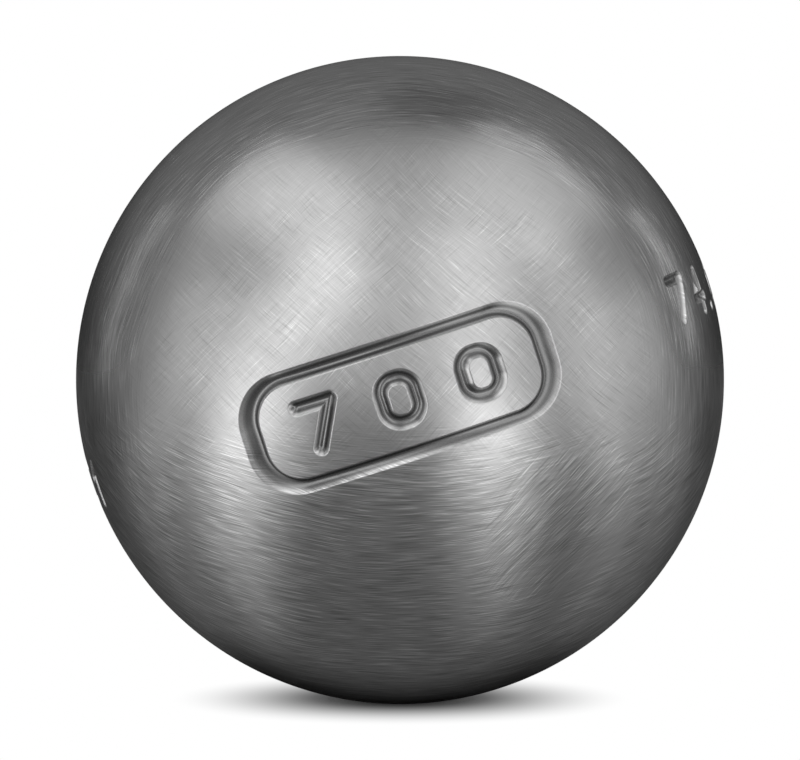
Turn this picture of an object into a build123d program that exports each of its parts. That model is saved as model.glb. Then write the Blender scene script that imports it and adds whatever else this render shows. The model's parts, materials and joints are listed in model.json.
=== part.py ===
"""A petanque boule: a hollow steel ball made of two forged half-shells joined by one weld round the equator.

The origin is the centre of the ball and +Z is up. The weld lies in the XZ plane, so the half-shells
face -Y (front) and +Y (rear). The front half-shell carries the struck marks, which follow one tilted
great circle: a framed weight figure at the pole, the diameter figure to its right and the number of the
boule in its set to its left. All lengths are in millimetres and all angles in degrees.
"""
import math
import os

from build123d import *

# Ball and weld
BALL_DIAMETER = 74.0
WALL = 6.15
WELD_CAP_WIDTH = 5.0
WELD_ROOT_WIDTH = 1.6
ROOT_BEAD_LAP = 0.9
ROOT_BEAD_HEIGHT = 0.9
STEEL_DENSITY = 7.85e-3

# Great circle that the marks follow: its tilt from the horizontal, and how far short of the weld they end
MARK_CIRCLE_TILT = 18.0
WELD_CLEARANCE = 0.9

# Frame struck round the weight figure, with wider ends, and the clear band left inside it
FRAME_LENGTH = 33.0
FRAME_HEIGHT = 12.6
FRAME_CORNER_RADIUS = 5.0
FRAME_GROOVE_WIDTH = 1.6
FRAME_END_WIDTH = 2.3
FRAME_MARGIN = 1.6

# Figures: the large ones stand in the frame, the small ones on the bare ball
LARGE_FIGURE_WIDTH = 5.2
LARGE_STROKE = 1.7
SMALL_FIGURE_WIDTH = 4.5
SMALL_FIGURE_HEIGHT = 5.8
SMALL_FIGURE_GAP = 1.5
SMALL_STROKE = 1.4
STRIKE_DEPTH = 0.6

# Share of a figure's half-width or half-height that its bends take up
BEND_SHARE = 0.9
SET_NUMBER = "01"
WEIGHT_STEP = 10

OUTER_RADIUS = BALL_DIAMETER / 2
INNER_RADIUS = OUTER_RADIUS - WALL


def on_sphere(radius, half_width):
    """Distance from the Y axis of the circle that lies half_width away from the weld plane on a sphere."""
    return math.sqrt(radius**2 - half_width**2)


CAP_EDGE = on_sphere(OUTER_RADIUS, WELD_CAP_WIDTH / 2)
ROOT_EDGE = on_sphere(INNER_RADIUS, WELD_ROOT_WIDTH / 2)


def half_shell():
    """The front half-shell before striking: a hemispherical cup whose rim is bevelled for the weld."""
    cap, root = -WELD_CAP_WIDTH / 2, -WELD_ROOT_WIDTH / 2
    profile = make_face(
        [
            RadiusArc((0, -OUTER_RADIUS), (CAP_EDGE, cap), -OUTER_RADIUS),
            Line((CAP_EDGE, cap), (ROOT_EDGE, root)),
            RadiusArc((ROOT_EDGE, root), (0, -INNER_RADIUS), INNER_RADIUS),
            Line((0, -INNER_RADIUS), (0, -OUTER_RADIUS)),
        ]
    )
    return revolve(profile, Axis.Y)


def equator_weld():
    """The weld: it fills the V between the two rims, flush outside and with a round root bead inside."""
    cap, root = WELD_CAP_WIDTH / 2, WELD_ROOT_WIDTH / 2
    bead = root + ROOT_BEAD_LAP
    bead_edge = on_sphere(INNER_RADIUS, bead)
    profile = make_face(
        [
            RadiusArc((CAP_EDGE, -cap), (CAP_EDGE, cap), -OUTER_RADIUS),
            Line((CAP_EDGE, cap), (ROOT_EDGE, root)),
            RadiusArc((ROOT_EDGE, root), (bead_edge, bead), -INNER_RADIUS),
            ThreePointArc((bead_edge, bead), (INNER_RADIUS - ROOT_BEAD_HEIGHT, 0), (bead_edge, -bead)),
            RadiusArc((bead_edge, -bead), (ROOT_EDGE, -root), -INNER_RADIUS),
            Line((ROOT_EDGE, -root), (CAP_EDGE, -cap)),
        ]
    )
    return revolve(profile, Axis.Y)


def figure_paths(figure, w, h):
    """Centrelines of a figure that is 2w wide and 2h tall between the centres of its strokes."""
    tall_bend = BEND_SHARE * min(w, h)
    bend = BEND_SHARE * min(w, h / 2)

    def ring(low, high, radius):
        return FilletPolyline((-w, low), (w, low), (w, high), (-w, high), radius=radius, close=True)

    return {
        "0": [ring(-h, h, tall_bend)],
        "1": [Polyline((-w, h - w), (0, h), (0, -h))],
        "2": [
            FilletPolyline((-w, h / 2), (-w, h), (w, h), (w, 0), (-w, -h), radius=bend),
            Line((-w, -h), (w, -h)),
        ],
        "3": [
            FilletPolyline((-w, h), (w, h), (w, 0), (0, 0), radius=bend),
            FilletPolyline((0, 0), (w, 0), (w, -h), (-w, -h), radius=bend),
        ],
        "4": [Polyline((w / 3, -h), (w / 3, h), (-w, -h / 3), (w, -h / 3))],
        "5": [FilletPolyline((w, h), (-w, h), (-w, 0), (w, 0), (w, -h), (-w, -h), radius=[0, 0, bend, bend])],
        "6": [ring(-h, 0, bend), FilletPolyline((-w, -h / 2), (-w, h), (w, h), radius=tall_bend)],
        "7": [Polyline((-w, h), (w, h), (-w / 3, -h))],
        "8": [ring(-h, 0, bend), ring(0, h, bend)],
        "9": [ring(0, h, bend), FilletPolyline((w, h / 2), (w, -h), (-w, -h), radius=tall_bend)],
    }[figure]


def figure_sketch(figure, width, height, stroke):
    """One struck figure: its centrelines given the width of the stroke, with round ends and corners."""
    dot = Circle(stroke / 2)
    if figure == ".":
        return Pos(0, (stroke - height) / 2) * dot
    sketch = Sketch()
    for path in figure_paths(figure, (width - stroke) / 2, (height - stroke) / 2):
        sketch += [trace(edge, stroke) for edge in path.edges()]
        sketch += [Pos(*vertex) * dot for vertex in path.vertices()]
    return sketch


def figure_row(text, width, height, stroke, gap):
    """A row of figures, centred on the origin, with a gap between neighbours. A point is one stroke wide."""
    widths = [stroke if figure == "." else width for figure in text]
    left = -(sum(widths) + gap * (len(text) - 1)) / 2
    row = Sketch()
    for figure, own_width in zip(text, widths):
        row += Pos(left + own_width / 2, 0) * figure_sketch(figure, own_width, height, stroke)
        left += own_width + gap
    return row


def weight_mark(text):
    """The framed weight figure, whose figures are spread evenly over the clear space inside the frame."""
    inner_length = FRAME_LENGTH - 2 * FRAME_END_WIDTH
    inner_height = FRAME_HEIGHT - 2 * FRAME_GROOVE_WIDTH
    inner_corner = max(FRAME_CORNER_RADIUS - FRAME_GROOVE_WIDTH, FRAME_GROOVE_WIDTH / 2)
    frame = RectangleRounded(FRAME_LENGTH, FRAME_HEIGHT, FRAME_CORNER_RADIUS)
    frame -= RectangleRounded(inner_length, inner_height, inner_corner)
    gap = (inner_length - len(text) * LARGE_FIGURE_WIDTH) / (len(text) + 1)
    return frame + figure_row(text, LARGE_FIGURE_WIDTH, inner_height - 2 * FRAME_MARGIN, LARGE_STROKE, gap)


def small_mark(text):
    """A row of small figures on the bare ball."""
    return figure_row(text, SMALL_FIGURE_WIDTH, SMALL_FIGURE_HEIGHT, SMALL_STROKE, SMALL_FIGURE_GAP)


def beside_weld(mark):
    """Angle from the front pole to the centre of a small mark that ends just short of the weld."""
    end = math.acos((WELD_CAP_WIDTH / 2 + WELD_CLEARANCE) / OUTER_RADIUS)
    half_length = math.asin(mark.bounding_box().size.X / 2 / OUTER_RADIUS)
    return math.degrees(end - half_length)


def strike(mark, along):
    """The metal that a mark pushes away: the mark driven straight in, down to an even depth below the ball.

    along is the angle on the marks' circle, from the front pole towards the right.
    """
    tilt, angle = math.radians(MARK_CIRCLE_TILT), math.radians(along)
    front = Vector(0, -1, 0)
    right = Vector(math.cos(tilt), 0, math.sin(tilt))
    outward = front * math.cos(angle) + right * math.sin(angle)
    reading = right * math.cos(angle) - front * math.sin(angle)
    die = Plane(outward * BALL_DIAMETER, x_dir=reading, z_dir=outward)
    return extrude(die * mark, -BALL_DIAMETER) - Sphere(OUTER_RADIUS - STRIKE_DEPTH)


blank = half_shell()
weld = equator_weld()
mass = (2 * blank.volume + weld.volume) * STEEL_DENSITY
weight_figure = str(WEIGHT_STEP * round(mass / WEIGHT_STEP))

size_mark = small_mark(f"{BALL_DIAMETER:.1f}")
set_mark = small_mark(SET_NUMBER)
front_half_shell = blank - strike(weight_mark(weight_figure), 0)
front_half_shell -= strike(size_mark, beside_weld(size_mark))
front_half_shell -= strike(set_mark, -beside_weld(set_mark))
rear_half_shell = Rot(Z=180) * half_shell()

os.makedirs("parts", exist_ok=True)
export_step(front_half_shell, "parts/front_half_shell.step")
export_step(rear_half_shell, "parts/rear_half_shell.step")
export_step(weld, "parts/equator_weld.step")

finished = front_half_shell.volume + rear_half_shell.volume + weld.volume
print(f"wall {WALL} mm, mass {finished * STEEL_DENSITY:.1f} g, weight figure {weight_figure}")
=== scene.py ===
"""The looks of a petanque boule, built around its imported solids. Lengths are in metres and +Z is up.

The ball's centre is the origin. Its front half-shell faces -Y and carries the struck marks, which follow one
tilted great circle. The three pieces are modelled again as fine closed meshes that meet at the weld.
"""
import json
import math
from collections import namedtuple

import bmesh
import bpy
import numpy as np
from mathutils import Matrix, Quaternion, Vector


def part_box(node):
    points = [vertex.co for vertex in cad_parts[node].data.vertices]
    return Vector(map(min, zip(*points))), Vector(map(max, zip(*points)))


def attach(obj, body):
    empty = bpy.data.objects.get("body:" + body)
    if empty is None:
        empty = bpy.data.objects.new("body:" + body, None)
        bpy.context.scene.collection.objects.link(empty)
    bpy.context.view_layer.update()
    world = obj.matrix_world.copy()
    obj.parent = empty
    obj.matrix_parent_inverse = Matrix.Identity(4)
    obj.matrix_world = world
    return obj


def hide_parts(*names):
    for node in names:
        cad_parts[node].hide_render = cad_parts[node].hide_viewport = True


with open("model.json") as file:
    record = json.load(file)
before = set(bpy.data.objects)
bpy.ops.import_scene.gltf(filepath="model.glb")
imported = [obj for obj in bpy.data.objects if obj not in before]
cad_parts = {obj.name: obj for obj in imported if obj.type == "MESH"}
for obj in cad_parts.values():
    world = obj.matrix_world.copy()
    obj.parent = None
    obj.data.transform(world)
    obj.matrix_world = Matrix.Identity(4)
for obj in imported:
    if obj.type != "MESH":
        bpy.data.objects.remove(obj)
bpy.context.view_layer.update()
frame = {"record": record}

# Sizes of the solids: the ball, and the half-widths of the weld at its cap, its root and its root bead
MOUNTS = {mount["name"]: mount for mount in frame["record"]["mounts"]}
BALL_RADIUS = -MOUNTS["cup_seat"]["pos_m"][2]
WALL = 0.00615
CAVITY_RADIUS = BALL_RADIUS - WALL
WELD_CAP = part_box("equator_weld")[1].y
WELD_ROOT = 0.0008
ROOT_BEAD_LAP = 0.0009
ROOT_BEAD = WELD_ROOT + ROOT_BEAD_LAP
ROOT_BEAD_HEIGHT = 0.0009

# Marks: their great circle, the frame at the front pole, and the figures
MARK_CIRCLE_TILT = math.radians(18)
WELD_CLEARANCE = 0.0009
FRAME_LENGTH = 0.0330
FRAME_HEIGHT = 0.0126
FRAME_CORNER_RADIUS = 0.0050
FRAME_GROOVE_WIDTH = 0.0016
FRAME_END_WIDTH = 0.0023
FRAME_MARGIN = 0.0016
LARGE_FIGURE_WIDTH = 0.0052
LARGE_STROKE = 0.0017
SMALL_FIGURE_WIDTH = 0.0045
SMALL_FIGURE_HEIGHT = 0.0058
SMALL_FIGURE_GAP = 0.0015
SMALL_STROKE = 0.0014
STRIKE_DEPTH = 0.0006
WEIGHT_FIGURE = "700"
SIZE_FIGURE = "74.0"
SET_FIGURE = "01"

# Share of a figure's half-width or half-height that its bends take up
BEND_SHARE = 0.9

# Section of a struck groove: the shares of its wall that round over into the ball and into the bottom, the
# width of the frame's inner wall, how far the bottom leans towards the upper edge, and the rounds that settle
# the lean
EDGE_SHARE = 0.14
BOTTOM_SHARE = 0.45
FRAME_INNER_WALL = 0.00075
GROOVE_LEAN = 0.00012
LEAN_STEPS = 6

# Half-shell meshes: cells across, points round the rim, the longest edge on the wall of a groove, and how
# far past a groove the fine mesh goes on, counted in edges
CAP_CELLS = 96
RIM_POINTS = 4 * CAP_CELLS
GROOVE_EDGE = 0.00013
NARROWEST_WALL = SMALL_STROKE / 2
REFINED_MARGIN = 2.5

# Normals of the struck surface: the step that they are measured over, and the largest X of a direction whose
# tangents are taken from the X axis instead of the Z axis
NORMAL_STEP = 1e-4
X_AXIS_LIMIT = 0.7

# Points along the arcs of the weld's section
WELD_CAP_POINTS = 7
WELD_LAP_POINTS = 3
WELD_BEAD_POINTS = 13

# Camera of the photograph
CAMERA_ELEVATION = math.radians(3)
CAMERA_DISTANCE = 0.2564
CAMERA_LENS = 100
CAMERA_CLIP = 0.01

# A smooth step from low to high while a value goes from start to end
Step = namedtuple("Step", "start end low high", defaults=(0, 1))

# Brush lines: their length, spacing, depth and sharpness, the patches they come in, how far they bend there,
# how they fade towards the axis that they circle, and how they fade down a groove
LINE_LENGTH = 0.0035
LINE_SPACING = 0.00008
LINE_DEPTH = 0.000004
LINE_SHARPNESS = 4
PATCH_SIZE = 0.012
LINE_BEND = 0.0018
NOISE_MIDDLE = 0.5
AXIS_FADE = Step(0.85, 0.5)
GROOVE_FADE = Step(0.05, 0.5, 1, 0.3)

# Families of brush lines: the axis that each one circles
RIM_AXIS = (0, 1, 0)
FALLING_AXIS = (0.66, 0, 0.75)
RISING_AXIS = (-0.7, 0, 0.7)
FRONT_LOW_AXIS = (0, -0.55, 0.83)
REAR_LOW_AXIS = (0, 0.55, 0.83)

# Lines along the rim: how strongly they show by the distance from the weld's plane and by height, on a ball
# of radius 1
RIM_BAND = Step(0.8, 0.55)
RIM_HEIGHT = Step(-0.5, 0.1, 0, 2.6)

# Falling and rising lines over the middle: where they show, by the same, and the patches in which they take
# turns
MIDDLE_BAND = Step(0.55, 0.85)
MIDDLE_HEIGHT = Step(-0.3, 0)
FALLING_PATCHES = Step(0.35, 0.6, 0.45, 0.9)
RISING_PATCHES = Step(0.65, 0.4, 0.35, 0.85)

# A fan of rising lines low on the right: its middle, its edge by the cosine of the angle from there, and its
# strength
FAN_DIRECTION = (0.47, -0.80, -0.37)
FAN_EDGE = Step(0.955, 0.985)
FAN_STRENGTH = 3.2

# Lines low down: how strongly they show by height, how they give way to the fan, and where the rear ones take
# over
LOW_HEIGHT = Step(-0.02, -0.25, 0, 3.4)
LOW_IN_FAN = Step(0, 1, 1, 0.25)
REAR_SIDE = Step(0, 0.35)

# Tone of the steel: the share of light that it reflects, how far the brush lines take it either way, the
# light that the strongest lines and the specks add, and the painted shade that darkens it down a groove
STEEL_COLOUR = 0.57
COLOUR_SWING = 0.22
LINE_SPREAD = 0.45
LINE_TONE = Step(-LINE_SPREAD, LINE_SPREAD, STEEL_COLOUR - COLOUR_SWING, STEEL_COLOUR + COLOUR_SWING)
SCRATCH_LIGHT = Step(0.17, 0.27, 0, 0.12)
SPECK_SPACING = 0.0024
SPECK_LIGHT = Step(0.045, 0, 0, 0.2)
GROOVE_PAINTED_SHADE = Step(0.2, 0.65, 1, 0.42)

# Roughness of the steel, how far it goes either way in patches, and the smoother upper rim and grooves
STEEL_ROUGHNESS = 0.33
ROUGHNESS_SWING = 0.02
PATCH_ROUGHNESS = Step(0.3, 0.7, STEEL_ROUGHNESS - ROUGHNESS_SWING, STEEL_ROUGHNESS + ROUGHNESS_SWING)
RIM_ROUGHNESS = 0.22
SMOOTH_RIM_BAND = Step(0.75, 0.55)
SMOOTH_RIM_HEIGHT = Step(-0.1, 0.2)
GROOVE_ROUGHNESS = 0.27
SMOOTH_GROOVE = Step(0.05, 0.4)

# Colours of the stage, and the reach of its floor
WHITE = (1, 1, 1, 1)
FLOOR_COLOUR = (0.8, 0.8, 0.8, 1)
FLOOR_REACH = 4.0

# Contact shadow on the floor: how far the ball shades, the shadow's length and width, and where it ends
SHADOW_REACH = 0.010
SHADOW_SAMPLES = 16
SHADOW_LENGTH = 0.0256
SHADOW_WIDTH = 0.015
SHADOW_CLEAR = Step(0.2, 1.05)

# Tent round the ball: its light in front, its light behind by height, and the darker gap over the ball's top
# by the distance from the gap's middle
TENT_RADIUS = 0.9
TENT_SEGMENTS = 48
TENT_RINGS = 24
TENT_FRONT = 0.27
TENT_REAR = Step(0.045, 0.45, 0.02, 0.15)
TENT_GAP_DIRECTION = (0.17, 0.36, 0.92)
TENT_GAP = Step(0.3, 0.15, 1, 0.6)

# Table under the ball: its light by the angle from the front, where the ball's shadow ends, and the light
# close behind the ball by distance
TABLE_GAP = 0.0001
TABLE_SEGMENTS = 64
TABLE_LIGHT = Step(math.radians(60), math.radians(130), 0.12, 0.03)
TABLE_CLEAR = Step(0.6, 1.4)
REAR_SPILL = Step(0.05, 0.11, 0.3, 0)
REAR_SPILL_START = math.radians(140)

# Bands of light that the soft boxes spill over the table: azimuth and half-width in degrees, and radiance.
# Each grows from its start, near the ball, to its full reach
SPILL_START = 0.022
SPILL_REACH = 0.150
SPILL_BANDS = [
    (-48, 20, 2.1),
    (28, 20, 1.9),
    (68, 20, 0.73),
    (-82, 26, 0.42),
    (96, 26, 0.3),
    (-10, 70, 0.11),
]

# Soft boxes: name, azimuth, elevation, width, height and roll in degrees as seen from the ball, and radiance
SOFT_BOX_DISTANCE = 0.7
SOFT_BOXES = [
    ("left_box", -38, 18, 23, 58, -28, 0.94),
    ("right_box", 26, 24, 22, 54, 0, 0.76),
    ("far_right_box", 64, 22, 20, 50, 0, 0.54),
    ("upper_left_box", -66, 56, 53, 28, 0, 0.63),
    ("upper_right_box", 77, 58, 50, 34, 0, 0.43),
    ("left_fill", -68, 8, 36, 44, 0, 0.42),
    ("right_fill", 84, 2, 30, 40, 0, 0.37),
    ("front_fill", 0, 30, 138, 66, 0, 0.30),
    ("top_box", 0, 77, 110, 22, 0, 0.22),
    ("left_strip", -120, 13, 5, 40, 0, 0.3),
    ("right_strip", 121, 17, 5, 28, 0, 0.6),
]


# Struck marks

def groove_depth(reach):
    """Depth of a groove, from 0 to 1, by how far a point is from its edge (0) to its deepest line (1).

    The wall is straight between a parabola that rounds the edge over and one that rounds the bottom.
    """
    reach = np.clip(reach, 0, 1)
    steepness = 1 / (1 - EDGE_SHARE / 2 - BOTTOM_SHARE / 2)
    edge = steepness * reach**2 / (2 * EDGE_SHARE)
    wall = steepness * (reach - EDGE_SHARE / 2)
    bottom = 1 - steepness * (1 - reach) ** 2 / (2 * BOTTOM_SHARE)
    return np.select([reach < EDGE_SHARE, reach < 1 - BOTTOM_SHARE], [edge, wall], bottom)


def line_distance(x, y, start, end):
    """Distance to the straight stroke between two points."""
    along_x, along_y = end[0] - start[0], end[1] - start[1]
    share = ((x - start[0]) * along_x + (y - start[1]) * along_y) / (along_x**2 + along_y**2)
    share = np.clip(share, 0, 1)
    return np.hypot(x - start[0] - share * along_x, y - start[1] - share * along_y)


def outline_distance(x, y, length, height, radius):
    """Signed distance to the outline of a rectangle with round corners, negative inside it."""
    out_x = np.abs(x) - length / 2 + radius
    out_y = np.abs(y) - height / 2 + radius
    outside = np.hypot(np.maximum(out_x, 0), np.maximum(out_y, 0))
    return outside + np.minimum(np.maximum(out_x, out_y), 0) - radius


def figure_reach(figure, x, y, width, height, stroke):
    """How far points lie inside one figure's strokes: 0 at the edge and 1 on the centreline.

    Between the centres of its strokes the figure is 2w wide and 2h tall.
    """
    w, h = (width - stroke) / 2, (height - stroke) / 2
    strokes = {
        "1": [(-w, h - w), (0, h), (0, -h)],
        "4": [(w / 3, -h), (w / 3, h), (-w, -h / 3), (w, -h / 3)],
        "7": [(-w, h), (w, h), (-w / 3, -h)],
    }
    if figure == "0":
        distance = np.abs(outline_distance(x, y, 2 * w, 2 * h, BEND_SHARE * min(w, h)))
    elif figure == ".":
        distance = np.hypot(x, y + h)
    else:
        points = strokes[figure]
        lines = [line_distance(x, y, *ends) for ends in zip(points, points[1:])]
        distance = np.minimum.reduce(lines)
    return 1 - distance / (stroke / 2)


def row_reach(text, x, y, width, height, stroke, gap):
    """How far points lie inside a row of figures centred on the origin. A point is one stroke wide."""
    widths = [stroke if figure == "." else width for figure in text]
    left = -row_length(text, width, stroke, gap) / 2
    reaches = []
    for figure, own_width in zip(text, widths):
        reaches.append(figure_reach(figure, x - left - own_width / 2, y, own_width, height, stroke))
        left += own_width + gap
    return np.maximum.reduce(reaches)


def row_length(text, width, stroke, gap):
    """Length of a row of figures."""
    points = text.count(".")
    return (len(text) - points) * width + points * stroke + (len(text) - 1) * gap


def weight_mark(x, y):
    """The framed weight figure."""
    inner_length = FRAME_LENGTH - 2 * FRAME_END_WIDTH
    inner_height = FRAME_HEIGHT - 2 * FRAME_GROOVE_WIDTH
    inner_corner = FRAME_CORNER_RADIUS - FRAME_GROOVE_WIDTH
    outer = outline_distance(x, y, FRAME_LENGTH, FRAME_HEIGHT, FRAME_CORNER_RADIUS)
    inner = outline_distance(x, y, inner_length, inner_height, inner_corner)
    groove = np.minimum(outer / (outer - inner + FRAME_INNER_WALL), inner / FRAME_INNER_WALL)
    gap = (inner_length - len(WEIGHT_FIGURE) * LARGE_FIGURE_WIDTH) / (len(WEIGHT_FIGURE) + 1)
    height = inner_height - 2 * FRAME_MARGIN
    figures = row_reach(WEIGHT_FIGURE, x, y, LARGE_FIGURE_WIDTH, height, LARGE_STROKE, gap)
    return np.maximum(groove, figures)


def small_mark(text):
    """A row of small figures on the bare ball."""
    sizes = SMALL_FIGURE_WIDTH, SMALL_FIGURE_HEIGHT, SMALL_STROKE, SMALL_FIGURE_GAP
    return lambda x, y: row_reach(text, x, y, *sizes)


def beside_weld(text):
    """Angle from the front pole to the centre of a row of small figures that ends just short of the weld."""
    end = math.acos((WELD_CAP + WELD_CLEARANCE) / BALL_RADIUS)
    half_length = row_length(text, SMALL_FIGURE_WIDTH, SMALL_STROKE, SMALL_FIGURE_GAP) / 2
    return end - math.asin(half_length / BALL_RADIUS)


MARKS = [
    (0, weight_mark),
    (beside_weld(SIZE_FIGURE), small_mark(SIZE_FIGURE)),
    (-beside_weld(SET_FIGURE), small_mark(SET_FIGURE)),
]


def mark_reach(directions, lean=0):
    """How far points of the ball lie inside the grooves: 0 at an edge, more inside and less outside.

    The points are given as unit directions. The lean is how far the groove is moved upwards at each of them.
    """
    front = np.array([0, -1, 0])
    right = np.array([math.cos(MARK_CIRCLE_TILT), 0, math.sin(MARK_CIRCLE_TILT)])
    up = np.cross(front, right)
    deepest = np.full(len(directions), -np.inf)
    for along, mark in MARKS:
        outward = front * math.cos(along) + right * math.sin(along)
        reading = right * math.cos(along) - front * math.sin(along)
        facing = directions @ outward > 0
        found = mark(BALL_RADIUS * directions @ reading, BALL_RADIUS * directions @ up - lean)
        deepest = np.where(facing, np.maximum(deepest, found), deepest)
    return deepest


def struck_share(directions):
    """How deep the ball is struck at each direction: 0 on the bare ball and 1 on the floor of a groove."""
    share = np.zeros(len(directions))
    for _ in range(LEAN_STEPS):
        share = groove_depth(mark_reach(directions, GROOVE_LEAN * share))
    return share


def struck_points(directions):
    """Points of the struck surface."""
    return directions * (BALL_RADIUS - STRIKE_DEPTH * struck_share(directions))[:, None]


def struck_normals(directions):
    """Normals of the struck surface, from small steps along two tangents."""
    helper = np.where(np.abs(directions[:, :1]) < X_AXIS_LIMIT, [[1, 0, 0]], [[0, 0, 1]])
    first = np.cross(directions, helper)
    first /= np.linalg.norm(first, axis=1)[:, None]
    second = np.cross(directions, first)
    slopes = []
    for tangent in (first, second):
        ends = []
        for sign in (1, -1):
            moved = directions + sign * NORMAL_STEP * tangent
            moved /= np.linalg.norm(moved, axis=1)[:, None]
            ends.append(struck_points(moved))
        slopes.append(ends[0] - ends[1])
    normals = np.cross(slopes[0], slopes[1])
    return normals / np.linalg.norm(normals, axis=1)[:, None]


# Meshes

def rim_angles():
    """Angles round the weld's axis of the points on the rim of a half-shell, in order."""
    return np.arange(RIM_POINTS) / RIM_POINTS * math.tau - math.pi / 4


def around_weld_axis(distance, along, angles):
    """Points at a distance from the Y axis, at a place along it."""
    distance, along, angles = np.broadcast_arrays(distance, along, angles)
    return np.stack([distance * np.cos(angles), along, distance * np.sin(angles)], -1)


def add_cap(mesh, radius, edge):
    """Adds a spherical cap round the front pole that ends at the plane y = -edge. Returns its rim, in order.

    The cap is a square grid whose concentric squares become circles, so that it has no slivers at the pole.
    """
    steps = np.linspace(-1, 1, CAP_CELLS + 1)
    across, up = np.meshgrid(steps, steps)
    reach = np.maximum(np.abs(across), np.abs(up))
    wide = np.abs(across) >= np.abs(up)
    longer = np.where(wide, across, up)
    shorter = np.where(wide, up, across)
    share = np.divide(shorter, longer, out=np.zeros_like(longer), where=longer != 0)
    turn = np.where(wide, math.pi / 4 * share, math.pi / 2 - math.pi / 4 * share)
    turn = turn + np.where(longer < 0, math.pi, 0)
    polar = reach * math.acos(edge / radius)
    points = radius * around_weld_axis(np.sin(polar), -np.cos(polar), turn)
    grid = [[mesh.verts.new(point) for point in row] for row in points]
    for low, high in zip(grid, grid[1:]):
        for corner in range(CAP_CELLS):
            mesh.faces.new((low[corner], low[corner + 1], high[corner + 1], high[corner]))
    right = [row[-1] for row in grid]
    top = grid[-1][::-1]
    left = [row[0] for row in grid[::-1]]
    return right[:-1] + top[:-1] + left[:-1] + grid[0][:-1]


def bridge(mesh, first, second):
    """Joins two closed loops of the same length with a band of faces."""
    for index, vertex in enumerate(first):
        mesh.faces.new((second[index - 1], second[index], vertex, first[index - 1]))


def refine_marks(mesh):
    """Divides the outer surface near the walls of the grooves until it is fine enough there to show them."""
    edges = list(mesh.edges)
    while True:
        ends = np.array([[end.co for end in edge.verts] for edge in edges])
        lengths = np.linalg.norm(ends[:, 0] - ends[:, 1], axis=1)
        middles = ends.mean(axis=1)
        radii = np.linalg.norm(middles, axis=1)
        near = mark_reach(middles / radii[:, None]) > -REFINED_MARGIN * lengths / NARROWEST_WALL
        outer = radii > BALL_RADIUS - STRIKE_DEPTH
        inside_rim = ends[:, :, 1].min(axis=1) < -WELD_CAP - GROOVE_EDGE
        chosen = np.flatnonzero(near & outer & inside_rim & (lengths > GROOVE_EDGE))
        if not len(chosen):
            return
        divided = bmesh.ops.subdivide_edges(
            mesh, edges=[edges[index] for index in chosen], cuts=1, use_grid_fill=True, use_single_edge=True
        )
        edges = [part for part in divided["geom"] if isinstance(part, bmesh.types.BMEdge)]


def finish_mesh(name, mesh, normals):
    """Makes a smooth object of a bmesh, with a given normal at each vertex."""
    bmesh.ops.recalc_face_normals(mesh, faces=mesh.faces)
    data = bpy.data.meshes.new(name)
    mesh.to_mesh(data)
    mesh.free()
    data.shade_smooth()
    data.normals_split_custom_set_from_vertices(normals)
    piece = bpy.data.objects.new(name, data)
    bpy.context.scene.collection.objects.link(piece)
    return piece


def half_shell(name, struck):
    """A half-shell that faces the front: the outer surface, the cavity and the bevelled rim between them."""
    mesh = bmesh.new()
    outer_rim = add_cap(mesh, BALL_RADIUS, WELD_CAP)
    cavity_rim = add_cap(mesh, CAVITY_RADIUS, WELD_ROOT)
    bridge(mesh, outer_rim, cavity_rim)
    if struck:
        refine_marks(mesh)
    points = np.array([vertex.co for vertex in mesh.verts])
    radii = np.linalg.norm(points, axis=1)
    directions = points / radii[:, None]
    outer = radii > BALL_RADIUS - STRIKE_DEPTH
    normals = -directions
    normals[outer] = directions[outer]
    depths = np.zeros(len(points))
    if struck:
        depths[outer] = struck_share(directions[outer])
        normals[outer] = struck_normals(directions[outer])
        points[outer] = struck_points(directions[outer])
        for vertex, point in zip(mesh.verts, points):
            vertex.co = point
    piece = finish_mesh(name, mesh, normals)
    piece.data.attributes.new("struck", "FLOAT", "POINT").data.foreach_set("value", depths)
    return piece


def arc(radius, start, end, points):
    """Points on a circle round the ball's centre, between two places along the Y axis.

    Each one is a distance from the Y axis and a place along it.
    """
    angles = np.linspace(math.asin(start / radius), math.asin(end / radius), points)
    return [(radius * math.cos(angle), radius * math.sin(angle)) for angle in angles]


def equator_weld(name):
    """The ring of weld between the rims: flush outside, with a round root bead inside."""
    outside = arc(BALL_RADIUS, -WELD_CAP, WELD_CAP, WELD_CAP_POINTS)
    lap = arc(CAVITY_RADIUS, WELD_ROOT, ROOT_BEAD, WELD_LAP_POINTS)
    foot = lap[-1][0]
    turns = np.linspace(0, math.pi, WELD_BEAD_POINTS)[1:-1]
    bead = [(foot - ROOT_BEAD_HEIGHT * math.sin(turn), ROOT_BEAD * math.cos(turn)) for turn in turns]
    mirrored_lap = [(distance, -along) for distance, along in reversed(lap)]
    profile = outside + lap + bead + mirrored_lap
    mesh = bmesh.new()
    loops = [
        [mesh.verts.new(point) for point in around_weld_axis(distance, along, rim_angles())]
        for distance, along in profile
    ]
    for first, second in zip(loops, loops[1:] + loops[:1]):
        bridge(mesh, first, second)
    points = np.array([vertex.co for vertex in mesh.verts])
    normals = points / np.linalg.norm(points, axis=1)[:, None]
    inside = np.arange(len(points)) >= len(outside) * RIM_POINTS
    normals[inside] *= -1
    return finish_mesh(name, mesh, normals)


def turn_to_rear(piece):
    """Turns a half-shell that faces the front to face the rear."""
    piece.data.transform(Matrix.Diagonal((-1, -1, 1, 1)))
    return piece


# Materials

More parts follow.
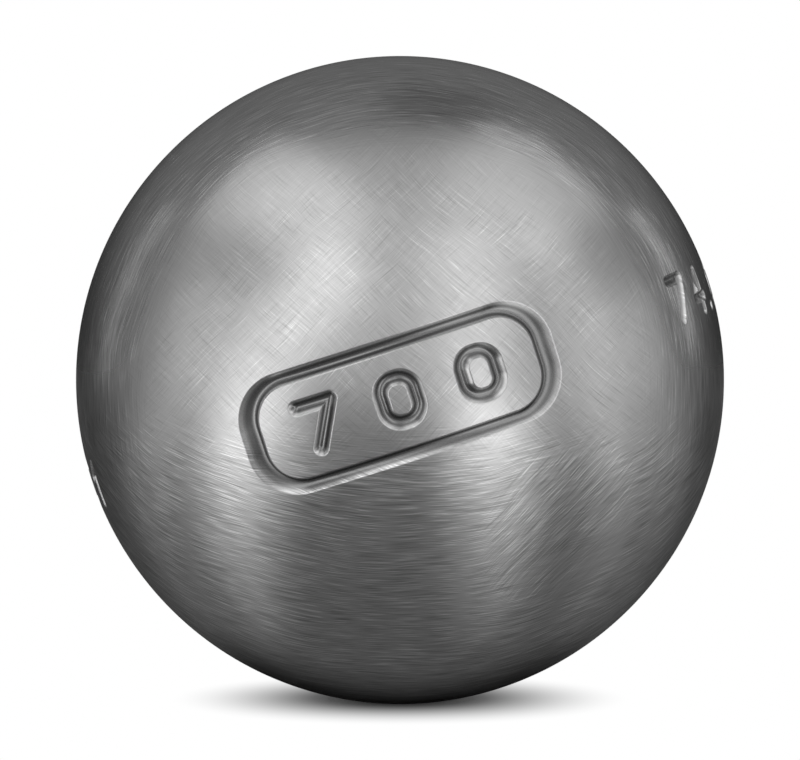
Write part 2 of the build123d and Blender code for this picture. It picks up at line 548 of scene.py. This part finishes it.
def add_node(tree, kind, inputs, **settings):
    """Adds a node. Its inputs, by name or number, are values or the outputs of other nodes."""
    node = tree.nodes.new(kind)
    for name, value in settings.items():
        setattr(node, name, value)
    for key, value in inputs.items():
        if isinstance(value, bpy.types.NodeSocket):
            tree.links.new(value, node.inputs[key])
        else:
            node.inputs[key].default_value = value
    return node


def compute(tree, operation, *values):
    """Result of a Math node."""
    return add_node(tree, "ShaderNodeMath", dict(enumerate(values)), operation=operation).outputs[0]


def compute_vector(tree, operation, *values):
    """Result of a Vector Math node: a number for the operations that measure something, or else a vector."""
    node = add_node(tree, "ShaderNodeVectorMath", dict(enumerate(values)), operation=operation)
    measures = operation in ("DISTANCE", "DOT_PRODUCT", "LENGTH")
    return node.outputs["Value" if measures else "Vector"]


def ramp(tree, value, start, end, low=0, high=1):
    """A smooth step from low to high while a value goes from start to end."""
    return add_node(tree, "ShaderNodeMapRange", {
        "Value": value, "From Min": start, "From Max": end, "To Min": low, "To Max": high,
    }, interpolation_type="SMOOTHSTEP").outputs[0]


def object_place(tree):
    """Place of a shaded point in its object's frame."""
    return add_node(tree, "ShaderNodeTexCoord", {}).outputs["Object"]


def split(tree, vector):
    """The X, Y and Z of a vector, by name."""
    return add_node(tree, "ShaderNodeSeparateXYZ", {0: vector}).outputs


def scaled(tree, place, size):
    """Coordinates in which a size is one unit."""
    inputs = {"Vector": place, "Scale": size}
    return add_node(tree, "ShaderNodeMapping", inputs, vector_type="TEXTURE").outputs[0]


def noise(tree, place):
    """Noise from 0 to 1 with features of about one unit."""
    return add_node(tree, "ShaderNodeTexNoise", {"Vector": place, "Scale": 1, "Detail": 1})


def new_material(name):
    """An empty material. Returns it with its node tree."""
    material = bpy.data.materials.new(name)
    material.use_nodes = True
    material.node_tree.nodes.clear()
    return material, material.node_tree


def brush_lines(tree, place, axis, share):
    """Fine lines on circles round an axis, from -1 to 1 where the share is 1. They fade towards the axis."""
    turned = add_node(tree, "ShaderNodeMapping", {
        "Vector": place,
        "Rotation": Vector(axis).to_track_quat("Z", "Y").to_euler(),
        "Scale": (LINE_LENGTH, LINE_LENGTH, LINE_SPACING),
    }, vector_type="TEXTURE").outputs[0]
    soft_lines = compute(tree, "SUBTRACT", noise(tree, turned).outputs["Fac"], NOISE_MIDDLE)
    strength = compute(tree, "MULTIPLY", compute(tree, "ABSOLUTE", soft_lines), LINE_SHARPNESS)
    lines = compute(tree, "MULTIPLY", soft_lines, strength)
    along = compute_vector(tree, "DOT_PRODUCT", compute_vector(tree, "NORMALIZE", place), axis)
    clear = ramp(tree, compute(tree, "ABSOLUTE", along), *AXIS_FADE)
    return compute(tree, "MULTIPLY", lines, compute(tree, "MULTIPLY", clear, share))


def line_families(tree, direction, patch):
    """The families of brush lines: the axis of each, and its strength in a direction from the centre."""
    axes = split(tree, direction)
    from_weld = compute(tree, "ABSOLUTE", axes["Y"])
    rim = compute(tree, "MULTIPLY", ramp(tree, from_weld, *RIM_BAND), ramp(tree, axes["Z"], *RIM_HEIGHT))
    upper = ramp(tree, axes["Z"], *MIDDLE_HEIGHT)
    middle = compute(tree, "MULTIPLY", ramp(tree, from_weld, *MIDDLE_BAND), upper)
    falling = compute(tree, "MULTIPLY", middle, ramp(tree, patch, *FALLING_PATCHES))
    fan = ramp(tree, compute_vector(tree, "DOT_PRODUCT", direction, FAN_DIRECTION), *FAN_EDGE)
    rising = compute(tree, "MULTIPLY", middle, ramp(tree, patch, *RISING_PATCHES))
    rising = compute(tree, "MULTIPLY_ADD", fan, FAN_STRENGTH, rising)
    low = compute(tree, "MULTIPLY", ramp(tree, axes["Z"], *LOW_HEIGHT), ramp(tree, fan, *LOW_IN_FAN))
    rear_low = compute(tree, "MULTIPLY", low, ramp(tree, axes["Y"], *REAR_SIDE))
    front_low = compute(tree, "SUBTRACT", low, rear_low)
    return (
        (RIM_AXIS, rim),
        (FRONT_LOW_AXIS, front_low),
        (REAR_LOW_AXIS, rear_low),
        (FALLING_AXIS, falling),
        (RISING_AXIS, rising),
    )


def steel_tone(tree, place, lines, struck):
    """Brightness of the steel: brush lines, bright scratches and specks, and painted shade down the grooves.
    """
    scratches = ramp(tree, lines, *SCRATCH_LIGHT)
    speck_place = scaled(tree, place, [SPECK_SPACING] * 3)
    cells = add_node(tree, "ShaderNodeTexVoronoi", {"Vector": speck_place, "Scale": 1}).outputs
    specks = ramp(tree, cells["Distance"], *SPECK_LIGHT)
    tone = compute(tree, "ADD", ramp(tree, lines, *LINE_TONE), scratches)
    tone = compute(tree, "ADD", tone, specks)
    # Painted shade: the steel is darker down the grooves, where shade falls
    return compute(tree, "MULTIPLY", tone, ramp(tree, struck, *GROOVE_PAINTED_SHADE))


def steel_roughness(tree, direction, patch, struck):
    """Roughness of the steel: it varies in patches, and the upper rim and the grooves are smoother."""
    axes = split(tree, direction)
    from_weld = compute(tree, "ABSOLUTE", axes["Y"])
    upper_rim = ramp(tree, axes["Z"], *SMOOTH_RIM_HEIGHT)
    smooth_rim = compute(tree, "MULTIPLY", ramp(tree, from_weld, *SMOOTH_RIM_BAND), upper_rim)
    roughness = ramp(tree, patch, *PATCH_ROUGHNESS)
    roughness = ramp(tree, smooth_rim, 0, 1, roughness, RIM_ROUGHNESS)
    return ramp(tree, struck, SMOOTH_GROOVE.start, SMOOTH_GROOVE.end, roughness, GROOVE_ROUGHNESS)


def steel(name):
    """Satin steel, brushed in several directions."""
    material, tree = new_material(name)
    place = object_place(tree)
    direction = compute_vector(tree, "NORMALIZE", place)
    struck = add_node(tree, "ShaderNodeAttribute", {}, attribute_name="struck").outputs["Fac"]
    patches = noise(tree, scaled(tree, place, [PATCH_SIZE] * 3)).outputs
    bend = compute_vector(tree, "MULTIPLY", patches["Color"], [LINE_BEND] * 3)
    bent_place = compute_vector(tree, "ADD", place, bend)
    lines = 0
    for axis, share in line_families(tree, direction, patches["Fac"]):
        lines = compute(tree, "ADD", lines, brush_lines(tree, bent_place, axis, share))
    lines = compute(tree, "MULTIPLY", lines, ramp(tree, struck, *GROOVE_FADE))
    relief = add_node(tree, "ShaderNodeBump", {"Height": lines, "Distance": LINE_DEPTH})
    shader = add_node(tree, "ShaderNodeBsdfPrincipled", {
        "Base Color": steel_tone(tree, place, lines, struck),
        "Metallic": 1,
        "Roughness": steel_roughness(tree, direction, patches["Fac"], struck),
        "Normal": relief.outputs[0],
    })
    add_node(tree, "ShaderNodeOutputMaterial", {"Surface": shader.outputs[0]})
    return material


# Stage

def seen_share(tree):
    """1 for the rays that show a background, straight, in metal or through glass, and 0 for the rest."""
    rays = add_node(tree, "ShaderNodeLightPath", {}).outputs
    straight_or_metal = compute(tree, "ADD", rays["Is Camera Ray"], rays["Is Glossy Ray"])
    return compute(tree, "ADD", straight_or_metal, rays["Is Transmission Ray"])


def shadow_distance(tree, place):
    """Distance from the point where the ball touches, as a share of the contact shadow's reach."""
    return compute_vector(tree, "LENGTH", scaled(tree, place, (SHADOW_LENGTH, SHADOW_WIDTH, 1)))


def floor_finish():
    """White floor that keeps the shadow where the ball touches it, and clears towards the shadow's edge."""
    material, tree = new_material("white_floor")
    shadow = add_node(
        tree, "ShaderNodeAmbientOcclusion", {"Distance": SHADOW_REACH}, samples=SHADOW_SAMPLES
    ).outputs["AO"]
    clear = ramp(tree, shadow_distance(tree, object_place(tree)), *SHADOW_CLEAR)
    shown = add_node(tree, "ShaderNodeEmission", {"Color": compute(tree, "MAXIMUM", shadow, clear)})
    plain = add_node(tree, "ShaderNodeBsdfDiffuse", {"Color": FLOOR_COLOUR})
    mixed = add_node(tree, "ShaderNodeMixShader", {
        0: seen_share(tree), 1: plain.outputs[0], 2: shown.outputs[0],
    })
    add_node(tree, "ShaderNodeOutputMaterial", {"Surface": mixed.outputs[0]})
    return material


def glowing(material, tree, strength):
    """Makes a material give off white light."""
    glow = add_node(tree, "ShaderNodeEmission", {"Color": WHITE, "Strength": strength})
    add_node(tree, "ShaderNodeOutputMaterial", {"Surface": glow.outputs[0]})
    material.cycles.emission_sampling = "NONE"
    return material


def tent_finish():
    """Dim cloth, darker behind the ball and darkest low down there, with a gap over the ball's top."""
    material, tree = new_material("dim_tent")
    place = object_place(tree)
    axes = split(tree, place)
    rear = ramp(tree, axes["Z"], *TENT_REAR)
    cloth = ramp(tree, axes["Y"], 0, TENT_RADIUS, TENT_FRONT, rear)
    gap_place = [TENT_RADIUS * share for share in TENT_GAP_DIRECTION]
    gap = ramp(tree, compute_vector(tree, "DISTANCE", place, gap_place), *TENT_GAP)
    return glowing(material, tree, compute(tree, "MULTIPLY", cloth, gap))


def table_finish():
    """Dim table, darker towards the rear, with light close behind the ball and bands from the soft boxes."""
    material, tree = new_material("dim_table")
    place = object_place(tree)
    axes = split(tree, place)
    azimuth = compute(tree, "ARCTAN2", axes["X"], compute(tree, "MULTIPLY", axes["Y"], -1))
    from_front = compute(tree, "ABSOLUTE", azimuth)
    distance = compute_vector(tree, "LENGTH", place)
    rear_spill = ramp(tree, from_front, REAR_SPILL_START, math.pi, 0, ramp(tree, distance, *REAR_SPILL))
    plain = compute(tree, "ADD", ramp(tree, from_front, *TABLE_LIGHT), rear_spill)
    clear = ramp(tree, shadow_distance(tree, place), *TABLE_CLEAR)
    shaded = compute(tree, "MULTIPLY", plain, clear)
    bands = 0
    for middle, half_width, radiance in SPILL_BANDS:
        from_middle = compute(tree, "ABSOLUTE", compute(tree, "SUBTRACT", azimuth, math.radians(middle)))
        band = ramp(tree, from_middle, math.radians(half_width), 0, 0, radiance)
        bands = compute(tree, "ADD", bands, band)
    reach = add_node(tree, "ShaderNodeMapRange", {
        "Value": distance, "From Min": SPILL_START, "From Max": SPILL_REACH,
    }).outputs[0]
    return glowing(material, tree, compute(tree, "MULTIPLY_ADD", bands, reach, shaded))


def stage_mesh(name, mesh, material):
    """Makes a stage object of a bmesh."""
    data = bpy.data.meshes.new(name)
    mesh.to_mesh(data)
    mesh.free()
    data.materials.append(material)
    item = bpy.data.objects.new(name, data)
    bpy.context.scene.collection.objects.link(item)
    return item


def make_floor():
    """The floor that the ball lies on."""
    mesh = bmesh.new()
    bmesh.ops.create_grid(mesh, x_segments=1, y_segments=1, size=FLOOR_REACH)
    floor = stage_mesh("floor", mesh, floor_finish())
    floor.location.z = -BALL_RADIUS


def make_studio():
    """What the ball mirrors besides the soft boxes: a dim tent and a table. The camera looks past them."""
    mesh = bmesh.new()
    bmesh.ops.create_uvsphere(mesh, u_segments=TENT_SEGMENTS, v_segments=TENT_RINGS, radius=TENT_RADIUS)
    tent = stage_mesh("tent", mesh, tent_finish())
    mesh = bmesh.new()
    bmesh.ops.create_circle(mesh, cap_ends=True, segments=TABLE_SEGMENTS, radius=TENT_RADIUS)
    table = stage_mesh("table", mesh, table_finish())
    table.location.z = TABLE_GAP - BALL_RADIUS
    for item in (tent, table):
        item.visible_camera = False
        item.visible_diffuse = False
        item.visible_shadow = False


def make_soft_box(name, azimuth, elevation, width, height, roll, radiance):
    """A soft box that faces the ball. Its place, size and roll are angles seen from the ball, in degrees."""
    data = bpy.data.lights.new(name, "AREA")
    data.shape = "RECTANGLE"
    data.size = 2 * SOFT_BOX_DISTANCE * math.tan(math.radians(width / 2))
    data.size_y = 2 * SOFT_BOX_DISTANCE * math.tan(math.radians(height / 2))
    data.energy = radiance * math.pi * data.size * data.size_y
    box = bpy.data.objects.new(name, data)
    around, up = math.radians(azimuth), math.radians(elevation)
    place = Vector((math.cos(up) * math.sin(around), -math.cos(up) * math.cos(around), math.sin(up)))
    box.location = SOFT_BOX_DISTANCE * place
    box.rotation_mode = "QUATERNION"
    box.rotation_quaternion = place.to_track_quat("Z", "Y") @ Quaternion((0, 0, 1), math.radians(roll))
    box.visible_camera = False
    bpy.context.scene.collection.objects.link(box)


def make_world():
    """White surroundings."""
    world = bpy.data.worlds.new("white_surroundings")
    world.use_nodes = True
    tree = world.node_tree
    tree.nodes.clear()
    white = add_node(tree, "ShaderNodeBackground", {"Color": WHITE, "Strength": seen_share(tree)})
    add_node(tree, "ShaderNodeOutputWorld", {"Surface": white.outputs[0]})
    bpy.context.scene.world = world


def make_camera():
    """The photograph's camera, which looks at the ball's centre from slightly above."""
    camera = bpy.data.objects.new("camera", bpy.data.cameras.new("camera"))
    camera.data.lens = CAMERA_LENS
    camera.data.clip_start = CAMERA_CLIP
    back = Vector((0, -math.cos(CAMERA_ELEVATION), math.sin(CAMERA_ELEVATION)))
    camera.location = CAMERA_DISTANCE * back
    camera.rotation_mode = "QUATERNION"
    camera.rotation_quaternion = back.to_track_quat("Z", "Y")
    bpy.context.scene.collection.objects.link(camera)
    bpy.context.scene.camera = camera


# The three pieces
front_shell = half_shell("front_shell", struck=True)
rear_shell = turn_to_rear(half_shell("rear_shell", struck=False))
weld_ring = equator_weld("weld_ring")
finish = steel("brushed_steel")
for piece, node, slot in (
    (front_shell, "front_half_shell", "half_shells"),
    (rear_shell, "rear_half_shell", "half_shells"),
    (weld_ring, "equator_weld", "weld"),
):
    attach(piece, "root")
    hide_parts(node)
    piece.data.materials.append(finish)

# The camera, the stage and the lamps
make_camera()
make_floor()
make_studio()
make_world()
for soft_box in SOFT_BOXES:
    make_soft_box(*soft_box)
bpy.context.scene.view_settings.view_transform = "Standard"
